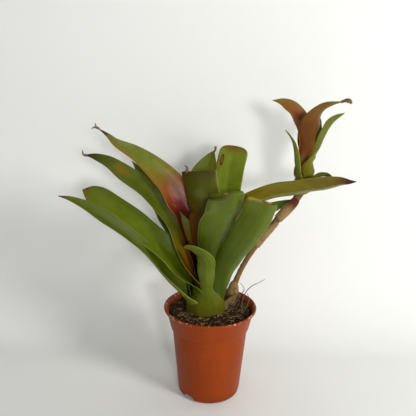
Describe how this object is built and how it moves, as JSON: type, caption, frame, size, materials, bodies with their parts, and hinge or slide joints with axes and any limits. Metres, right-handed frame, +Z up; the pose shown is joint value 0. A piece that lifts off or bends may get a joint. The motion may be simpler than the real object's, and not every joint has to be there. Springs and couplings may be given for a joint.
{
  "type": "potted bromeliad",
  "caption": "Bromeliad rosette with arching green and red leaves and a pup on a woody stolon, in a terracotta-coloured plastic nursery pot.",
  "frame": {"origin": "centre of the pot's underside, on the surface it stands on", "axes": "+Z up; +X towards the pup, -Y towards the side the front leaf faces"},
  "size_m": [0.3554, 0.2101, 0.382],
  "materials": {
    "pot_plastic": "satin, scuffed at the rim",
    "peat": "crumbly, matt",
    "stem": "fibrous, matt",
    "dry_scale": "papery, matt",
    "root": "matt",
    "leaf_green": "semi-gloss",
    "leaf_dark": "semi-gloss",
    "leaf_red": "semi-gloss"
  },
  "bodies": {
    "root": {"pot": "pot_plastic", "potting_mix": "peat", "crown_stem": "stem", "stolon": "stem", "pup_stem": "stem", "stolon_scale_foot": "dry_scale", "stolon_scale_middle": "dry_scale", "stolon_scale_upper": "dry_scale", "dry_leaf_base": "dry_scale", "root_loop": "root", "root_hook": "root", "root_long": "root", "root_short": "root", "leaf_front_short": "leaf_green", "leaf_left_low": "leaf_green", "leaf_back_right": "leaf_green", "leaf_right_front": "leaf_green", "leaf_left_edge": "leaf_green", "leaf_left_mid": "leaf_green", "leaf_back_low": "leaf_green", "leaf_right_back": "leaf_green", "leaf_left_back_short": "leaf_green", "leaf_left_curl": "leaf_dark", "leaf_right_long": "leaf_green", "leaf_back_small": "leaf_green", "leaf_centre_front": "leaf_green", "leaf_left_high": "leaf_red", "leaf_back_tall": "leaf_green", "leaf_centre_dark": "leaf_dark", "pup_bract": "leaf_green", "pup_leaf_left_low": "leaf_green", "pup_leaf_right_low": "leaf_green", "pup_leaf_right": "leaf_green", "pup_leaf_back": "leaf_red", "pup_leaf_centre": "leaf_red", "pup_leaf_left": "leaf_red"}
  },
  "joints": []
}
